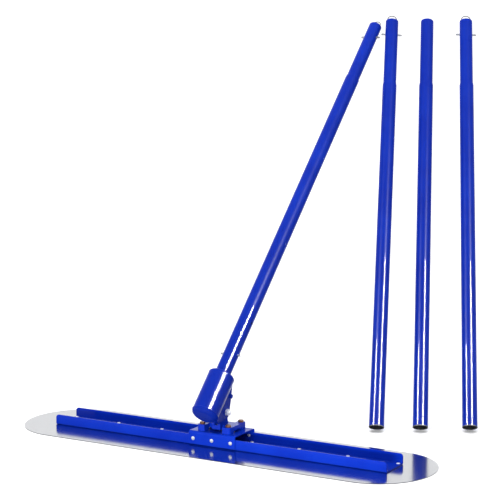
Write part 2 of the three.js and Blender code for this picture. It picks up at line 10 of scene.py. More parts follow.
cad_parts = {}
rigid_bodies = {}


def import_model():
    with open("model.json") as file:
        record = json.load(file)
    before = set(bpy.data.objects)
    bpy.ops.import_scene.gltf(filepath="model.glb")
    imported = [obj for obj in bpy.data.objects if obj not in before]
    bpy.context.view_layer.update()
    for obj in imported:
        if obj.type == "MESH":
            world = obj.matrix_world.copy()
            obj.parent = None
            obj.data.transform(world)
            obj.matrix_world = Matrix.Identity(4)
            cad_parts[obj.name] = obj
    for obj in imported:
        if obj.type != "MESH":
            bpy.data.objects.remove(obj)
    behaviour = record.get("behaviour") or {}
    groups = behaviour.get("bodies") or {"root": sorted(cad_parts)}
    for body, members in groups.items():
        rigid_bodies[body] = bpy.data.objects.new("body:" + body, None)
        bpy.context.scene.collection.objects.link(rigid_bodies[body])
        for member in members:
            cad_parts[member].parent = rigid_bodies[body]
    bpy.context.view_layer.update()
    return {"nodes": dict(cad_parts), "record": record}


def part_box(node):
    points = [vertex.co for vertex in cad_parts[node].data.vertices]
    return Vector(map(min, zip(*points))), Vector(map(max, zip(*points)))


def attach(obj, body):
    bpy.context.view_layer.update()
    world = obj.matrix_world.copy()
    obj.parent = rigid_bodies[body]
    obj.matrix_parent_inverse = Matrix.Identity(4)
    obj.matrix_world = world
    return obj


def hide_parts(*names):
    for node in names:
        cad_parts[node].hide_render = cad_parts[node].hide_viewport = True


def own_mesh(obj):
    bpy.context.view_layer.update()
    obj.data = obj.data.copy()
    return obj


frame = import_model()
MM = 0.001
RECORD = frame["record"]
BODY_OF = {node: body for body, nodes in RECORD["behaviour"]["bodies"].items() for node in nodes}
SLOT_OF = {entry["node"]: entry["material_slot"] for entry in RECORD["subparts"]}
JOINTS = {joint["name"]: joint for joint in RECORD["behaviour"]["joints"]}


# ---- Procedural materials ---------------------------------------------------------------------------
class Nodes:
    """A short way to write a material's node tree."""

    def __init__(self, name):
        self.material = bpy.data.materials.new(name)
        self.material.use_nodes = True
        self.tree = self.material.node_tree
        self.shader = self.tree.nodes["Principled BSDF"]
        self.place = self.add("ShaderNodeTexCoord").outputs["Object"]

    def add(self, kind, **settings):
        node = self.tree.nodes.new(kind)
        for key, value in settings.items():
            setattr(node, key, value)
        return node

    def link(self, source, target):
        self.tree.links.new(source, target)

    def scaled(self, scale):
        mapping = self.add("ShaderNodeMapping")
        mapping.inputs["Scale"].default_value = scale
        self.link(self.place, mapping.inputs["Vector"])
        return mapping.outputs["Vector"]

    def noise(self, scale, detail=3.0, roughness=0.5, stretch=None):
        node = self.add("ShaderNodeTexNoise")
        node.inputs["Scale"].default_value = scale
        node.inputs["Detail"].default_value = detail
        node.inputs["Roughness"].default_value = roughness
        self.link(self.scaled(stretch) if stretch else self.place, node.inputs["Vector"])
        return node.outputs["Fac"]

    def ranged(self, value, low, high, to_low, to_high):
        node = self.add("ShaderNodeMapRange")
        for slot, number in zip(("From Min", "From Max", "To Min", "To Max"), (low, high, to_low, to_high)):
            node.inputs[slot].default_value = number
        self.link(value, node.inputs["Value"])
        return node.outputs["Result"]

    def absolute(self, value):
        node = self.add("ShaderNodeMath", operation="ABSOLUTE")
        self.link(value, node.inputs[0])
        return node.outputs[0]

    def mixed(self, factor, first, second):
        """A colour between first and second; each input is a value or another node's output."""
        node = self.add("ShaderNodeMix", data_type="RGBA")
        for source, target in ((factor, node.inputs[0]), (first, node.inputs[6]), (second, node.inputs[7])):
            if isinstance(source, (tuple, float, int)):
                target.default_value = source
            else:
                self.link(source, target)
        return node.outputs[2]

    def bumped(self, layers):
        """Stacks bump layers: (height, strength, distance in metres)."""
        previous = None
        for height, strength, distance in layers:
            node = self.add("ShaderNodeBump")
            node.inputs["Strength"].default_value = strength
            node.inputs["Distance"].default_value = distance
            self.link(height, node.inputs["Height"])
            if previous:
                self.link(previous, node.inputs["Normal"])
            previous = node.outputs["Normal"]
        self.link(previous, self.shader.inputs["Normal"])

    def edges(self, radius, low, high):
        """1 where the surface turns sharply within the radius, 0 on the flats."""
        bevel = self.add("ShaderNodeBevel", samples=4)
        bevel.inputs["Radius"].default_value = radius
        geometry = self.add("ShaderNodeNewGeometry")
        dot = self.add("ShaderNodeVectorMath", operation="DOT_PRODUCT")
        self.link(bevel.outputs["Normal"], dot.inputs[0])
        self.link(geometry.outputs["Normal"], dot.inputs[1])
        return self.ranged(dot.outputs["Value"], high, low, 0.0, 1.0)


def gloss_paint():
    """Deep blue gloss paint: slight tone drift, orange peel, and lighter rubbed patches on the edges."""
    n = Nodes("blue_paint")
    tone = n.ranged(n.noise(9.0, 4.0), 0.3, 0.7, 0.0, 1.0)
    base = n.mixed(tone, (0.0015, 0.016, 0.28, 1), (0.0025, 0.024, 0.35, 1))
    rub = n.ranged(n.noise(140.0, 5.0, 0.7), 0.52, 0.72, 0.0, 1.0)
    edge = n.mixed(n.edges(0.0011, 0.80, 0.97), (0, 0, 0, 1), (1, 1, 1, 1))
    worn = n.mixed(rub, (0, 0, 0, 1), edge)
    n.link(n.mixed(worn, base, (0.02, 0.08, 0.5, 1)), n.shader.inputs["Base Color"])
    smear = n.noise(26.0, 5.0, 0.62)
    n.link(n.ranged(smear, 0.3, 0.75, 0.26, 0.34), n.shader.inputs["Roughness"])
    facing = n.add("ShaderNodeLayerWeight").outputs["Facing"]
    n.link(n.ranged(facing, 0.66, 0.8, 0.11, 0.8), n.shader.inputs["Coat Weight"])
    n.link(n.ranged(smear, 0.3, 0.8, 0.02, 0.04), n.shader.inputs["Coat Roughness"])
    n.shader.inputs["Specular IOR Level"].default_value = 0.02
    peel = n.noise(520.0, 2.0)
    specks = n.ranged(n.noise(1900.0, 1.0), 0.72, 0.8, 0.0, 1.0)
    n.bumped([(peel, 0.035, 0.00004), (specks, 0.05, 0.00005)])
    return n.material


def polished_steel():
    """Sheet steel with fine lengthwise brushing on its polished faces; its edge faces are near-black, painted
    shade.
    """
    n = Nodes("blade_steel")
    fine = n.noise(420.0, 3.0, 0.6, stretch=(0.5, 18.0, 18.0))
    cloud = n.noise(5.0, 4.0, 0.55)
    normal = n.add("ShaderNodeSeparateXYZ")
    n.link(n.add("ShaderNodeNewGeometry").outputs["Normal"], normal.inputs[0])
    # faces that do not face up or down (the blade's edge) get a near-black base: painted shade along the edge
    flat = n.ranged(n.absolute(normal.outputs["Z"]), 0.5, 0.9, 0.0, 1.0)
    polished = n.mixed(cloud, (0.43, 0.435, 0.45, 1), (0.48, 0.485, 0.495, 1))
    n.link(n.mixed(flat, (0.07, 0.075, 0.09, 1), polished), n.shader.inputs["Base Color"])
    n.shader.inputs["Metallic"].default_value = 1.0
    n.link(n.ranged(fine, 0.3, 0.7, 0.11, 0.15), n.shader.inputs["Roughness"])
    n.shader.inputs["Anisotropic"].default_value = 0.35
    n.bumped([(fine, 0.03, 0.00001)])
    return n.material


def bright_metal(name, low, high, roughness, grain_scale=260.0, stain=None, turned=False, metallic=1.0):
    """Bare or plated metal, clouded between two tones, with a fine grain and, if asked for, stains."""
    n = Nodes(name)
    cloud = n.noise(70.0, 5.0, 0.65)
    base = n.mixed(n.ranged(cloud, 0.3, 0.7, 0.0, 1.0), low, high)
    if stain:
        spots = n.ranged(n.noise(330.0, 5.0, 0.7), 0.55, 0.66, 0.0, 0.75)
        base = n.mixed(spots, base, stain)
    n.link(base, n.shader.inputs["Base Color"])
    n.shader.inputs["Metallic"].default_value = metallic
    n.link(n.ranged(cloud, 0.25, 0.75, roughness * 0.75, roughness * 1.35), n.shader.inputs["Roughness"])
    stretch = (1.0, 1.0, 9.0) if turned else None
    n.bumped([(n.noise(grain_scale, 4.0, 0.6, stretch=stretch), 0.14, 0.00006)])
    return n.material


METALS = {
    # near-black steel: painted shade inside the handle tubes and painted shadow round the mouths of the loose
    # sections
    "socket_mouth": dict(
        low=(0.01, 0.011, 0.016, 1), high=(0.03, 0.032, 0.04, 1), roughness=0.6, metallic=0.2
    ),
    "zinc": dict(low=(0.78, 0.79, 0.82, 1), high=(0.9, 0.91, 0.93, 1), roughness=0.26, metallic=0.6),
    "bolt_bronze": dict(
        low=(0.15, 0.065, 0.04, 1), high=(0.3, 0.15, 0.09, 1), roughness=0.33, stain=(0.07, 0.03, 0.02, 1)
    ),
    "machined_steel": dict(
        low=(0.42, 0.43, 0.45, 1), high=(0.58, 0.59, 0.6, 1), roughness=0.3, grain_scale=700.0, turned=True
    ),
    "bush_bronze": dict(low=(0.55, 0.38, 0.17, 1), high=(0.7, 0.52, 0.27, 1), roughness=0.36, turned=True),
    "spring_wire": dict(
        low=(0.2, 0.2, 0.215, 1), high=(0.3, 0.3, 0.315, 1), roughness=0.24, grain_scale=900.0
    ),
    # a darker zinc for the clip pins: painted shade
    "pin_steel": dict(
        low=(0.3, 0.305, 0.32, 1), high=(0.42, 0.425, 0.44, 1), roughness=0.28, grain_scale=500.0,
        turned=True,
    ),
}
MATERIALS = {"blue_paint": gloss_paint(), "blade_steel": polished_steel()}
MATERIALS.update({name: bright_metal(name, **looks) for name, looks in METALS.items()})


# ---- Mesh helpers -----------------------------------------------------------------------------------
def finished(piece, slot_name, body, replaced=(), sharp=32.0):
    """Material, smooth shading with crisp edges, and a place on the frame."""
    if not piece.data.materials:
        piece.data.materials.append(MATERIALS[slot_name])
    piece.data.polygons.foreach_set("use_smooth", [True] * len(piece.data.polygons))
    piece.data.set_sharp_from_angle(angle=math.radians(sharp))
    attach(piece, body)
    if replaced:
        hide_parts(*replaced)
    return piece


def linked(name, data):
    """An object for a mesh, a light or a camera, linked into the scene."""
    new = bpy.data.objects.new(name, data)
    bpy.context.scene.collection.objects.link(new)
    return new


def linked_mesh(name, bm):
    """An object made from a bmesh, which is used up, with its faces turned outwards."""
    bmesh.ops.recalc_face_normals(bm, faces=bm.faces)
    mesh = bpy.data.meshes.new(name)
    bm.to_mesh(mesh)
    bm.free()
    return linked(name, mesh)


def axes_matrix(origin, axis, across=(1, 0, 0)):
    """A matrix whose Z runs along axis and whose X runs along across, at origin."""
    z = Vector(axis).normalized()
    x = Vector(across)
    if abs(z.dot(x.normalized())) > 0.99:
        x = Vector((0, 1, 0))
    x = (x - z * x.dot(z)).normalized()
    y = z.cross(x)
    matrix = Matrix((x, y, z)).transposed().to_4x4()
    matrix.translation = Vector(origin)
    return matrix


def polar(name, rings, matrix, segments, closed=False):
    """A surface through rings round matrix's Z: each ring is (z, radius or function of the angle), in mm."""
    bm = bmesh.new()
    rows = []
    for z, radius in rings:
        if not callable(radius) and radius < 1e-6:
            rows.append([bm.verts.new(matrix @ Vector((0, 0, z * MM)))])
            continue
        row = []
        for i in range(segments):
            angle = 2 * math.pi * i / segments
            r = radius(angle) if callable(radius) else radius
            place = Vector((r * math.cos(angle) * MM, r * math.sin(angle) * MM, z * MM))
            row.append(bm.verts.new(matrix @ place))
        rows.append(row)
    pairs = list(zip(rows, rows[1:])) + ([(rows[-1], rows[0])] if closed else [])
    for low, high in pairs:
        for i in range(segments):
            j = (i + 1) % segments
            corners = [low[i % len(low)], low[j % len(low)], high[j % len(high)], high[i % len(high)]]
            unique = list(dict.fromkeys(corners))
            if len(unique) > 2:
                bm.faces.new(unique)
    return linked_mesh(name, bm)


def filleted(profile, radius, steps=4, closed=False):
    """Rounds the corners of a list of (radius, z) points."""
    count = len(profile)
    result = []
    for i, point in enumerate(profile):
        if not closed and i in (0, count - 1):
            result.append(point)
            continue
        here = Vector(point)
        before, after = Vector(profile[i - 1]) - here, Vector(profile[(i + 1) % count]) - here
        turn = before.angle(after, 0.0)
        if turn > math.radians(172) or min(before.length, after.length) < 1e-6:
            result.append(point)
            continue
        cut = min(radius, before.length * 0.45, after.length * 0.45)
        start, end = here + before.normalized() * cut, here + after.normalized() * cut
        for k in range(steps + 1):
            t = k / steps
            result.append(tuple(start * (1 - t) ** 2 + here * 2 * t * (1 - t) + end * t**2))
    return result


def lathe(name, profile, matrix, segments, fillet, closed=False):
    """A profile of (radius, z) points in mm, its corners rounded, turned round matrix's Z."""
    points = filleted(profile, fillet, closed=closed)
    return polar(name, [(z, r) for r, z in points], matrix, segments, closed)


def rounding(piece, width, segments, angle):
    """Adds a bevel of width mm on every edge sharper than angle degrees."""
    bevel = piece.modifiers.new("rounding", "BEVEL")
    bevel.width = width * MM
    bevel.segments = segments
    bevel.limit_method = "ANGLE"
    bevel.angle_limit = math.radians(angle)
    bevel.use_clamp_overlap = False


def refined(node, width, segments=3, flat=1.0, angle=30.0):
    """A copy of a CAD node with every hard edge rounded; faces within flat degrees are merged first."""
    mesh = frame["nodes"][node].data.copy()
    mesh.materials.clear()
    bm = bmesh.new()
    bm.from_mesh(mesh)
    bmesh.ops.remove_doubles(bm, verts=bm.verts, dist=0.00002)
    if flat:
        bmesh.ops.dissolve_limit(bm, angle_limit=math.radians(flat), verts=bm.verts, edges=bm.edges)
    bm.to_mesh(mesh)
    bm.free()
    mesh.validate()
    piece = linked(f"{node}_refined", mesh)
    rounding(piece, width, segments, angle)
    mesh.polygons.foreach_set("use_smooth", [True] * len(mesh.polygons))
    shading = piece.modifiers.new("even shading", "WEIGHTED_NORMAL")
    shading.weight = 60
    baked(piece)
    return finished(piece, SLOT_OF[node], BODY_OF[node], [node], sharp=40.0)


def painted_over(piece, origin, direction, beyond):
    """Paints the faces that reach more than beyond (mm) from origin along direction."""
    piece.data.materials.append(MATERIALS["blue_paint"])
    origin, direction = Vector(origin), Vector(direction)
    reach = [(v.co - origin).dot(direction) / MM for v in piece.data.vertices]
    for face in piece.data.polygons:
        if max(reach[index] for index in face.vertices) > beyond:
            face.material_index = len(piece.data.materials) - 1


def baked(piece):
    """Applies the piece's modifiers."""
    bpy.context.view_layer.update()
    graph = bpy.context.evaluated_depsgraph_get()
    mesh = bpy.data.meshes.new_from_object(piece.evaluated_get(graph))
    piece.modifiers.clear()
    piece.data = mesh


def middle(node):
    """The centre of a CAD node's box."""
    low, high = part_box(node)
    return (Vector(low) + Vector(high)) / 2


def fitted(node, axis, across=(1, 0, 0)):
    """A matrix along axis at the middle of a CAD node's low end, and the node's size in its frame (mm)."""
    matrix = axes_matrix((0, 0, 0), axis, across)
    inverse = matrix.inverted()
    points = [inverse @ v.co for v in frame["nodes"][node].data.vertices]
    low = [min(p[i] for p in points) for i in range(3)]
    high = [max(p[i] for p in points) for i in range(3)]
    matrix.translation = matrix @ Vector(((low[0] + high[0]) / 2, (low[1] + high[1]) / 2, low[2]))
    return matrix, [(end - start) / MM for start, end in zip(low, high)]


def bored(piece, matrices, radius, reach=60):
    """Cuts a round hole through the piece along each matrix's Z."""
    cutters = []
    for matrix in matrices:
        cutter = polar("cutter", [(-reach, 0), (-reach, radius), (reach, radius), (reach, 0)], matrix, 24)
        modifier = piece.modifiers.new("hole", "BOOLEAN")
        modifier.object = cutter
        modifier.solver = "EXACT"
        cutters.append(cutter)
    baked(piece)
    for cutter in cutters:
        bpy.data.objects.remove(cutter)


def tube_along(name, points, radius_at, sides):
    """A round bar through points (metres); radius_at(distance in mm) gives its radius in mm."""
    bm = bmesh.new()
    rings, travelled = [], 0.0
    normal = None
    for i, point in enumerate(points):
        ahead = points[min(i + 1, len(points) - 1)]
        behind = points[max(i - 1, 0)]
        tangent = (ahead - behind).normalized()
        if i:
            travelled += (point - points[i - 1]).length / MM
        normal = normal or tangent.orthogonal()
        normal = (normal - tangent * normal.dot(tangent)).normalized()
        side = tangent.cross(normal)
        r = radius_at(travelled) * MM
        turns = [2 * math.pi * k / sides for k in range(sides)]
        rings.append([bm.verts.new(point + (normal * math.cos(t) + side * math.sin(t)) * r) for t in turns])
    for low, high in zip(rings, rings[1:]):
        for k in range(sides):
            bm.faces.new((low[k], low[(k + 1) % sides], high[(k + 1) % sides], high[k]))
    bm.faces.new(list(reversed(rings[0])))
    bm.faces.new(rings[-1])
    return linked_mesh(name, bm)


def weld(name, corners, radius, body, ripple=2.1):
    """A rippled weld bead along a path of points in metres."""
    spacing = 0.45  # mm from one ring of the bead to the next
    points = []
    for a, b in zip(corners, corners[1:]):
        steps = max(1, round((b - a).length / MM / spacing))
        points += [a.lerp(b, k / steps) for k in range(steps)]
    points.append(corners[-1])

    def radius_at(distance):
        crest = 0.86 + 0.14 * abs(math.sin(math.pi * distance / ripple))
        wander = 1 + 0.07 * math.sin(distance * 0.37) + 0.04 * math.sin(distance * 0.93 + 1)
        end = min(1.0, 0.35 + distance / 3.0)
        return radius * crest * wander * end

    finished(tube_along(name, points, radius_at, 10), "blue_paint", body, sharp=75)


def ring_points(matrix, radius, z, start, end, count=96):
    """Points on a circle round matrix's Z, from the start angle to the end angle in degrees."""
    angles = [math.radians(start + (end - start) * k / count) for k in range(count + 1)]
    return [matrix @ Vector((radius * math.cos(a) * MM, radius * math.sin(a) * MM, z * MM)) for a in angles]


# ---- Blade, channel, bridge and rivets ---------------------------------------------------------------
SHEET = 3.0  # thickness of the channel's folded plate
BEND = 4.5  # outside radius of the channel's bends
END_ROUND = 9.0  # rounded top corner at each end of the channel's walls
BLADE_RIVETS, BRIDGE_RIVETS = 16, 6
RIVET = {"shank": 2.6, "head": 2.4, "tail_radius": 4.0, "tail": 2.2}
LUG_WELD = {"x": 13.0, "y": (1, 10), "z": 57.5}  # where the bracket's lugs stand on its pads


def arc(centre, radius, start, end, steps=6):
    """Points on an arc in a plane, from the start angle to the end angle in degrees."""
    angles = [math.radians(start + (end - start) * k / steps) for k in range(steps + 1)]
    return [(centre[0] + radius * math.cos(a), centre[1] + radius * math.sin(a)) for a in angles]


def channel_outline(half_width, base, top):
    """The channel's cross-section as (y, z) points: a floor with a bent-up wall on either side."""
    centre = (half_width - BEND, base + BEND)
    outside = arc(centre, BEND, -90, 0) + [(half_width, top)]
    inside = [(half_width - SHEET, top)] + arc(centre, BEND - SHEET, 0, -90)
    right = outside + inside
    return right + [(-y, z) for y, z in reversed(right)]


def build_channel():
    """The channel, swept along X through stations whose wall height falls away at the rounded ends."""
    low, high = (Vector(v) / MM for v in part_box("stiffener_channel"))
    half_length, top = high.x, high.z
    outline = channel_outline(high.y, low.z, top)
    bend_start = top - END_ROUND
    ends = [half_length - END_ROUND * (1 - math.sin(math.radians(a))) for a in range(0, 91, 9)]
    stations = [-x for x in reversed(ends)] + [-300, -150, 0, 150, 300] + ends
    bm = bmesh.new()
    rings = []
    for x in stations:
        over = max(0.0, abs(x) - (half_length - END_ROUND))
        crown = bend_start + math.sqrt(max(0.0, END_ROUND**2 - over**2))
        ring = []
        for y, z in outline:
            if z > bend_start:
                z = bend_start + (z - bend_start) * (crown - bend_start) / END_ROUND
            ring.append(bm.verts.new((x * MM, y * MM, z * MM)))
        rings.append(ring)
    for near, far in zip(rings, rings[1:]):
        for k in range(len(outline)):
            following = (k + 1) % len(outline)
            bm.faces.new((near[k], near[following], far[following], far[k]))
    bm.faces.new(rings[0])
    bm.faces.new(list(reversed(rings[-1])))
    bmesh.ops.remove_doubles(bm, verts=bm.verts, dist=0.00001)
    piece = linked_mesh("channel_section", bm)
    rounding(piece, 0.55, 3, 38)
    baked(piece)
    finished(piece, "blue_paint", "float", ["stiffener_channel"])


def rivet_profile(seat, radius, tail=False):
    """A round-head rivet along Z: its head sits at seat, its foot at 0 may have a rounded tail."""
    shank, head = RIVET["shank"], RIVET["head"]
    foot = [(0, 0), (shank, 0)]
    if tail:
        wide, deep = RIVET["tail_radius"], RIVET["tail"]
        turns = [math.radians(a) for a in range(15, 91, 15)]
        foot = [(0, -deep)] + [(wide * math.sin(a), -deep * math.cos(a)) for a in turns] + [(shank, 0)]
    rim = head * 0.22
    turns = [math.radians(a) for a in range(12, 90, 13)]
    crown = [(radius * math.cos(a), seat + rim + (head - rim) * math.sin(a)) for a in turns]
    return foot + [(shank, seat), (radius, seat), (radius, seat + rim)] + crown + [(0, seat + head)]


def build_rivets():
    for i in range(BLADE_RIVETS):
        node = f"blade_rivet_{i + 1}"
        matrix, size = fitted(node, (0, 0, 1))
        profile = rivet_profile(size[2] - RIVET["head"], size[0] / 2)
        finished(lathe(f"floor_rivet_{i + 1}", profile, matrix, 32, 0.15), "zinc", "float", [node])
    for i in range(BRIDGE_RIVETS):
        node = f"bridge_rivet_{i + 1}"
        side = 1 if middle(node).y > 0 else -1
        matrix, size = fitted(node, (0, side, 0))
        matrix = matrix @ Matrix.Translation((0, 0, RIVET["tail"] * MM))
        profile = rivet_profile(size[2] - RIVET["tail"] - RIVET["head"], size[0] / 2, tail=True)
        finished(lathe(f"wall_rivet_{i + 1}", profile, matrix, 32, 0.15), "zinc", "float", [node])


# ---- Fasteners --------------------------------------------------------------------------------------
def hexagon(across, limit):
    """Radius of a hexagon at an angle, no further out than limit."""
    def radius(angle):
        turn = (angle + math.pi / 6) % (math.pi / 3) - math.pi / 6
        return min(across / 2 / math.cos(turn), limit)
    return radius


def hex_rings(across, low, high, chamfer_low, chamfer_high):
    """Rings of a hexagon whose corners are chamfered by a cone at either end."""
    flat, corner = across / 2, across / math.sqrt(3)
    start = flat * 0.985  # the cone starts a little inside the flats
    rise = (corner - flat) * 0.58
    rings = []
    for z, inward, chamfered in ((low, 1, chamfer_low), (high, -1, chamfer_high)):
        steps = [0.0, 0.25, 0.5, 0.75, 1.0] if chamfered else [1.0]
        depth = rise * inward if chamfered else 0
        end = [(z + depth * t, hexagon(across, start + (corner - start) * t)) for t in steps]
        rings += end if inward > 0 else reversed(end)
    return rings


def threaded(low, high, radius, pitch=1.25):
    """Rings of a shank whose surface is grooved like a screw thread."""
    turn = [(0, 1), (0.12, 1), (0.5, 0.9), (0.88, 1)]  # shares of the pitch and of the radius
    rings = []
    for k in range(int((high - low) / pitch)):
        rings += [(low + (k + along) * pitch, radius * share) for along, share in turn]
    return rings + [(high, radius)]


def build_bolt(name, node, slot_name, axis, across, head, shank, threads, stamp=0.35):
    """A hex bolt whose head is at the high end of axis, threaded up to threads mm from its tip."""
    matrix, size = fitted(node, axis)
    length = size[2]
    seat = length - head
    rings = [(0, 0), (0, shank * 0.75), (shank * 0.25, shank * 0.97)]
    rings += threaded(shank * 0.3, threads, shank)
    rings += [(threads + 0.6, shank), (seat - 0.01, shank), (seat, across * 0.49)]
    rings += hex_rings(across, seat + 0.05, length, False, True)
    rings += [(length, across * 0.36), (length - stamp, across * 0.33), (length - stamp, 0)]
    piece = polar(name, rings, matrix, 72)
    finished(piece, slot_name, BODY_OF[node], [node], sharp=24)


def build_nut(name, node, slot_name, axis, across, bore):
    """A hex nut chamfered at both ends, with a countersunk bore."""
    matrix, size = fitted(node, axis)
    height = size[2]
    rings = [(0.7, bore), (0, bore + 0.9)] + hex_rings(across, 0, height, True, True)
    rings += [(height, bore + 0.9), (height - 0.7, bore)]
    piece = polar(name, rings, matrix, 72, closed=True)
    finished(piece, slot_name, BODY_OF[node], [node], sharp=24)


def build_cheek_screw():
    """A small screw right through the cheek plate, with its nut, painted on the outside."""
    matrix, size = fitted("cheek_screw", (1, 0, 0), (0, 1, 0))
    across, shank, recess, dish, nut = 11, 3.2, 3.9, 0.3, 4.45
    length = size[2]
    seat = length - 4
    rings = [(0, 0), (0, recess)] + hex_rings(across, 0, nut, True, True) + [(nut, shank), (seat, shank)]
    rings += hex_rings(across, seat, length, False, True)
    rings += [(length, recess), (length - dish, recess - dish), (length - dish, 0)]
    screw = polar("cheek_screw_turned", rings, matrix, 72)
    finished(screw, "zinc", "tilt_head", ["cheek_screw"], sharp=24)
    painted_over(screw, matrix.translation, (1, 0, 0), seat - 0.2)


def build_fasteners():
    up, right, left = (0, 0, 1), (1, 0, 0), (-1, 0, 0)
    base_bolt = dict(across=13, head=5.5, shank=4, threads=16)
    for i in range(1, 5):
        build_bolt(f"hex_bolt_{i}", f"base_bolt_{i}", "bolt_bronze", up, **base_bolt)
        build_nut(f"hex_nut_{i}", f"base_nut_{i}", "zinc", up, across=13, bore=4.2)
    build_bolt("pivot_bolt_turned", "pivot_bolt", "zinc", left, across=17, head=6.4, shank=5, threads=15)
    build_nut("pivot_nut_turned", "pivot_nut", "zinc", right, across=17, bore=5.2)
    build_cheek_screw()


# ---- Handle sections, pins and clips -----------------------------------------------------------------
POLE = {
    "wall": 1.2,
    "neck": 211,
    "neck_radius": 19.4,
    "taper": 9,
    "sockets": (61, 166),  # heights of the holes in the lower end
    "pin_drop": 47,  # from the upper end down to the pins
    "hole": 3.4,
}
MOUTH_SHADE = 2.6  # height of the near-black band round the mouth of a loose section: painted shadow where it meets the floor
BUTTON = {"shank": 3, "shoulder": 4.5, "shoulder_depth": 1.5}
WIRE_RADIUS = 1.4
HANDLE_AXIS = Vector(JOINTS["worm_spin"]["axis"])
WORM_CENTRE = Vector(JOINTS["worm_spin"]["pos_m"])
FITTED_ACROSS, LOOSE_ACROSS = Vector((1, 0, 0)), Vector((0.87, 0.5, 0))  # which way the pins point
SECTION_FRAMES = {1: (HANDLE_AXIS, FITTED_ACROSS)}
SECTION_FRAMES.update({i: (Vector(JOINTS[f"lift_section_{i}"]["axis"]), LOOSE_ACROSS) for i in (2, 3, 4)})
CLIPS = {"stub": 1, "section_1": 1, "section_2": 2, "section_4": 4}  # the section each clip lines up with


def section_profile(radius, length):
    """A tube with its upper end swaged down to a neck, outside up and inside down, as (radius, z) points."""
    wall, small = POLE["wall"], POLE["neck_radius"]
    shoulder = length - POLE["neck"]
    cone = shoulder - POLE["taper"]
    bands = [z + step for z in POLE["sockets"] for step in (-12, 12)]  # rings close to the holes
    tip = [length - POLE["pin_drop"] + step for step in (-12, 12)]
    outer = [(radius, 0), (radius, MOUTH_SHADE)] + [(radius, z) for z in bands]
    outer += [(radius, cone - 400), (radius, cone), (small, shoulder)]
    outer += [(small, z) for z in tip] + [(small, length - 2.5)]
    lip = [(small - 0.25, length - 1.2), (small - 0.8, length - 0.25), (small - 1.5, length),
           (small - 1.8, length - 0.6), (small - 1.8, length - 2.5)]
    inner = [(small - wall, length - 4)] + [(small - wall, z) for z in reversed(tip)]
    inner += [(small - wall, shoulder + 1), (radius - wall, cone - 1)]
    inner += [(radius - wall, z) for z in reversed(bands)]
    return outer + lip + inner + [(radius - wall, 0)]


def build_section(number):
    """A handle section: blue outside; inside and, where it stands loose, round its mouth, near-black steel as
    painted shade.
    """
    node = f"handle_section_{number}"
    matrix, size = fitted(node, *SECTION_FRAMES[number])
    piece = lathe(f"pole_{number}", section_profile(size[0] / 2, size[2]), matrix, 72, 0.35, closed=True)
    for material in ("blue_paint", "socket_mouth"):
        piece.data.materials.append(MATERIALS[material])
    inverse = matrix.inverted()
    turned = inverse.to_3x3()
    for face in piece.data.polygons:
        place, normal = inverse @ face.center, turned @ face.normal
        inside = place.x * normal.x + place.y * normal.y < 0
        # inward faces and the band at a loose section's mouth get the near-black steel: painted shade and
        # painted shadow
        mouth_shade = number != 1 and place.z < MOUTH_SHADE * MM
        face.material_index = int(inside or mouth_shade)
    has_clip = f"section_{number}" in CLIPS
    heights = list(POLE["sockets"]) + ([size[2] - POLE["pin_drop"]] if has_clip else [])
    sideways = Matrix.Rotation(math.pi / 2, 4, "Y")
    bored(piece, [matrix @ Matrix.Translation((0, 0, z * MM)) @ sideways for z in heights], POLE["hole"])
    finished(piece, "blue_paint", BODY_OF[node], [node])


def build_button(label, side, axis, across):
    """A pin with a shoulder that stops it inside the tube, and a rounded tip."""
    node = f"{label}_pin_{side}"
    matrix, size = fitted(node, across, axis)
    length = size[2]
    shank, shoulder, depth = BUTTON["shank"], BUTTON["shoulder"], BUTTON["shoulder_depth"]
    profile = [(0, 0), (shoulder, 0), (shoulder, depth), (shank, depth), (shank, length - 2.2)]
    profile += [(2.75, length - 1.1), (2.1, length - 0.4), (1.1, length - 0.08), (0, length)]
    button = lathe(f"{label}_button_{side}", profile, matrix, 36, 0.25)
    # the pins take the darker zinc, which is painted shade, in place of their plain zinc
    button.data.materials.append(MATERIALS["pin_steel"])
    finished(button, "zinc", BODY_OF[node], [node])


def build_clip(label, axis, across):
    """Two pins and the bent wire that springs them apart; pressing the pins closes the wire up."""
    build_button(label, "right", axis, across)
    build_button(label, "left", axis, -across)
    wire_node = f"{label}_clip_wire"
    matrix, size = fitted(wire_node, axis, across)
    reach = size[0] / 2
    arm = reach - WIRE_RADIUS
    bend = size[2] - WIRE_RADIUS - arm
    turns = [math.radians(a) for a in range(6, 175, 6)]
    path = [(-arm, 0.1), (-arm, bend * 0.5), (-arm, bend)]
    path += [(-arm * math.cos(a), bend + arm * math.sin(a)) for a in turns]
    path += [(arm, bend), (arm, bend * 0.5), (arm, 0.1)]
    points = [matrix @ Vector((x * MM, 0, z * MM)) for x, z in path]
    wire = tube_along(f"{label}_spring", points, lambda distance: WIRE_RADIUS, 16)
    finished(wire, "spring_wire", BODY_OF[wire_node], [wire_node])
    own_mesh(wire)


# ---- Head -------------------------------------------------------------------------------------------
HOUSING_RADIUS = 36.0
CHEEK_FACES = {"inner": 14.0, "outer": 20.5}  # how far each face of a cheek plate is from the middle
BUSHES = {"lower_bush": (8.3, 0.3), "upper_bush": (18.6, 0.4)}  # bore radius and corner rounding
RIM_WELDS = {"low": (35.2, 1.7), "top": (35.3, 1.2)}  # ring radius and bead radius
RIM_WELD_RUN = (105, 435)  # from and to, in degrees: the rim welds stop short of the middle of the cheek side


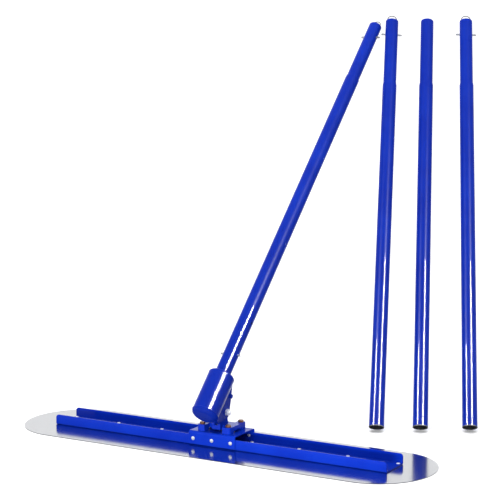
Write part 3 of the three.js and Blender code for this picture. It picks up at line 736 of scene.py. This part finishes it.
def build_bearings():
    """The worm shaft and its bushes; what shows above the housing's top cap was painted with it."""
    cap, cap_size = fitted("housing_top_cap", HANDLE_AXIS)
    cap_top = (cap.translation - WORM_CENTRE).dot(HANDLE_AXIS) / MM + cap_size[2] + 0.2
    painted_over(refined("worm_shaft", 0.12, 2, angle=35), WORM_CENTRE, HANDLE_AXIS, cap_top)
    for node, (bore, fillet) in BUSHES.items():
        matrix, size = fitted(node, HANDLE_AXIS)
        outer, height = size[0] / 2, size[2]
        profile = [(outer, 0), (outer, height), (bore, height), (bore, 0)]
        piece = lathe(f"{node}_turned", profile, matrix, 72, fillet, closed=True)
        finished(piece, "bush_bronze", BODY_OF[node], [node])
        painted_over(piece, WORM_CENTRE, HANDLE_AXIS, cap_top)


def build_housing_welds():
    """Beads round both rims of the housing and along the cheek plates; the cheeks are on its Y side."""
    matrix, size = fitted("gear_housing", HANDLE_AXIS)
    low = (matrix.translation - WORM_CENTRE).dot(HANDLE_AXIS)
    tube = axes_matrix(WORM_CENTRE + HANDLE_AXIS * low, HANDLE_AXIS)
    for name, z in (("low", 0.0), ("top", size[2])):
        ring, bead = RIM_WELDS[name]
        weld(f"rim_weld_{name}", ring_points(tube, ring, z, *RIM_WELD_RUN), bead, "tilt_head")
    for side, side_name in ((-1, "left"), (1, "right")):
        for face, x in CHEEK_FACES.items():
            y = math.sqrt(HOUSING_RADIUS**2 - x**2)
            run = [tube @ (Vector((side * x, y, z)) * MM) for z in (2, size[2] - 2)]
            weld(f"cheek_weld_{face}_{side_name}", run, 1.9, "tilt_head")


def build_head():
    refined("gear_housing", 0.7)
    refined("housing_bottom_cap", 0.4)
    refined("housing_top_cap", 0.4)
    refined("toothed_sector", 0.25, 2)
    build_bearings()
    build_housing_welds()


def build_base():
    refined("blade", 0.22, 2)
    build_channel()
    refined("bridge", 0.5)
    refined("base_bracket", 0.7, flat=0)
    for side, name in ((-1, "left"), (1, "right")):
        run = [Vector((side * LUG_WELD["x"], y, LUG_WELD["z"])) * MM for y in LUG_WELD["y"]]
        weld(f"lug_weld_{name}", run, 1.6, "float")


build_base()
build_rivets()
build_fasteners()
build_head()
for number in SECTION_FRAMES:
    build_section(number)
for label, number in CLIPS.items():
    axis, across = SECTION_FRAMES[number]
    build_clip(label, axis, (across - axis * across.dot(axis)).normalized())


# ---- Studio -----------------------------------------------------------------------------------------
AZIMUTH, PITCH = math.radians(29.805), math.radians(8.186)
CAMERA_PLACE = Vector((2.2507, -3.7784, 1.1527))
RIGHT = Vector((math.cos(AZIMUTH), math.sin(AZIMUTH), 0))
BACK = Vector((-math.sin(AZIMUTH), math.cos(AZIMUTH), 0))
FORWARD = BACK * math.cos(PITCH) - Vector((0, 0, math.sin(PITCH)))
COVE = {"near": -16.0, "far": 10.0, "sweep": 4.0, "top": 14.0, "half_width": 18.0, "sunk": 0.0004}
ROOM_STRENGTH = 0.12
BRIGHTER_FOR = {"Is Glossy Ray": 1.1, "Is Camera Ray": 0.9}  # what is added for these kinds of ray
STRIPE_DISTANCE = 3.6
HEAD_PIECES = ("pole_1", "gear_housing", "housing_", "rim_weld", "cheek_weld", "stub_", "worm_shaft")
LOOSE_PIECES = ("pole_2", "pole_3", "pole_4")
RAIL_PIECES = ("channel_section", "bridge_refined", "base_bracket")


def build_camera():
    data = bpy.data.cameras.new("camera")
    data.sensor_width, data.lens = 36.0, 122.4
    data.clip_end = 60
    camera = linked("camera", data)
    camera.location = CAMERA_PLACE
    camera.rotation_euler = FORWARD.to_track_quat("-Z", "Y").to_euler()
    bpy.context.scene.camera = camera


def studio_white():
    """Matt off-white that glows more with distance from the object, so the backdrop stays even."""
    n = Nodes("studio_floor")
    tone = n.mixed(n.noise(2.0, 4.0), (0.9, 0.9, 0.905, 1), (0.93, 0.93, 0.93, 1))
    n.link(tone, n.shader.inputs["Base Color"])
    n.link(n.ranged(n.noise(7.0, 4.0), 0.3, 0.7, 0.5, 0.7), n.shader.inputs["Roughness"])
    n.shader.inputs["Specular IOR Level"].default_value = 0.2
    n.shader.inputs["Emission Color"].default_value = (1, 1, 1, 1)
    distance = n.add("ShaderNodeVectorMath", operation="LENGTH")
    n.link(n.place, distance.inputs[0])
    n.link(n.ranged(distance.outputs["Value"], 2.5, 7.0, 0.12, 0.72), n.shader.inputs["Emission Strength"])
    return n.material


def build_cove():
    """A pale floor that curves up into a wall behind the object."""
    far, sweep, width = COVE["far"], COVE["sweep"], COVE["half_width"]
    turns = [math.radians(a) for a in range(8, 91, 8)]
    profile = [(COVE["near"], 0.0), (-2.0, 0.0), (2.0, 0.0), (far, 0.0)]
    profile += [(far + sweep * math.sin(a), sweep - sweep * math.cos(a)) for a in turns]
    profile += [(far + sweep, sweep), (far + sweep, COVE["top"])]
    bm = bmesh.new()
    rows = []
    for across in (-width, width):
        places = [RIGHT * across + BACK * depth + Vector((0, 0, z - COVE["sunk"])) for depth, z in profile]
        rows.append([bm.verts.new(place) for place in places])
    left, right = rows
    for k in range(len(profile) - 1):
        bm.faces.new((left[k], right[k], right[k + 1], left[k + 1]))
    mesh = bpy.data.meshes.new("cove")
    bm.to_mesh(mesh)
    bm.free()
    cove = linked("cove", mesh)
    mesh.polygons.foreach_set("use_smooth", [True] * len(mesh.polygons))
    mesh.materials.append(studio_white())


def softbox(name, place, target, width, height, energy, up=Vector((0, 0, 1)), diffuse=True, glossy=True):
    """A rectangular light at place, facing target; diffuse and glossy say what it takes part in."""
    data = bpy.data.lights.new(name, "AREA")
    data.shape, data.size, data.size_y, data.energy = "RECTANGLE", width, height, energy
    light = linked(name, data)
    z = (place - target).normalized()
    y = (up - z * up.dot(z)).normalized()
    matrix = Matrix((y.cross(z), y, z)).transposed().to_4x4()
    matrix.translation = place
    light.matrix_world = matrix
    light.visible_camera = False
    light.visible_diffuse, light.visible_glossy = diffuse, glossy
    return light


def only_on(light, prefixes):
    """Keeps a light on the pieces whose names start so."""
    lit = bpy.data.collections.new(f"{light.name}_lit")
    for piece in bpy.data.objects:
        if piece.name.startswith(prefixes):
            lit.objects.link(piece)
    light.light_linking.receiver_collection = lit


def stripe(name, tube_axis, target, offset, size, energy, pieces):
    """A strip light whose reflection runs along a tube, offset by a share of its radius to the right."""
    axis = tube_axis.normalized()
    view = (target - CAMERA_PLACE).normalized()
    front = (axis * view.dot(axis) - view).normalized()
    side = front.cross(axis)
    side = side if side.dot(RIGHT) > 0 else -side
    angle = math.asin(offset)
    normal = front * math.cos(angle) + side * math.sin(angle)
    out = view - normal * 2 * view.dot(normal)
    light = softbox(name, target + out * STRIPE_DISTANCE, target, *size, energy, up=axis, diffuse=False)
    only_on(light, pieces)


def build_world():
    """A pale room: faint for diffuse surfaces, brighter in reflections and where the camera sees it."""
    world = bpy.data.worlds.new("studio")
    bpy.context.scene.world = world
    world.use_nodes = True
    tree = world.node_tree
    background = tree.nodes["Background"].inputs
    background["Color"].default_value = (0.9, 0.94, 1.0, 1)
    path = tree.nodes.new("ShaderNodeLightPath")
    total = tree.nodes.new("ShaderNodeValue").outputs[0]
    total.default_value = ROOM_STRENGTH
    for ray, extra in BRIGHTER_FOR.items():
        step = tree.nodes.new("ShaderNodeMath")
        step.operation = "MULTIPLY_ADD"
        tree.links.new(path.outputs[ray], step.inputs[0])
        step.inputs[1].default_value = extra
        tree.links.new(total, step.inputs[2])
        total = step.outputs[0]
    tree.links.new(total, background["Strength"])


def build_lights():
    centre = Vector((0.1, 0.3, 0.3))
    front = centre - BACK * 5 - RIGHT * 1.5 + Vector((0, 0, 2.2))
    softbox("overhead", Vector((0, 0.6, 5.0)), centre, 6, 6, 360, up=BACK, glossy=False)
    softbox("fill", front, centre, 4, 3, 210, glossy=False)
    beside, rail = Vector((0.8, -2.2, 0.12)), Vector((0.35, 0, 0.02))
    only_on(softbox("rail_wash", beside, rail, 0.9, 0.2, 60, glossy=False), RAIL_PIECES)
    head = WORM_CENTRE + HANDLE_AXIS * 0.06
    stripe("strip_head", HANDLE_AXIS, head, 0.15, (1.4, 0.75), 1200, HEAD_PIECES)
    stripe("strip_edge", HANDLE_AXIS, head, 0.86, (0.5, 0.75), 150, HEAD_PIECES)
    loose = SECTION_FRAMES[3][0]
    foot = middle("handle_section_3") - loose * 0.62
    stripe("strip_right", loose, foot + loose * 0.15, 0.3, (0.9, 1.05), 1100, LOOSE_PIECES)
    stripe("strip_left", loose, foot + loose * 0.035, -0.38, (0.9, 0.62), 560, LOOSE_PIECES)


build_camera()
build_cove()
build_world()
build_lights()
bpy.context.scene.view_settings.view_transform = "Standard"
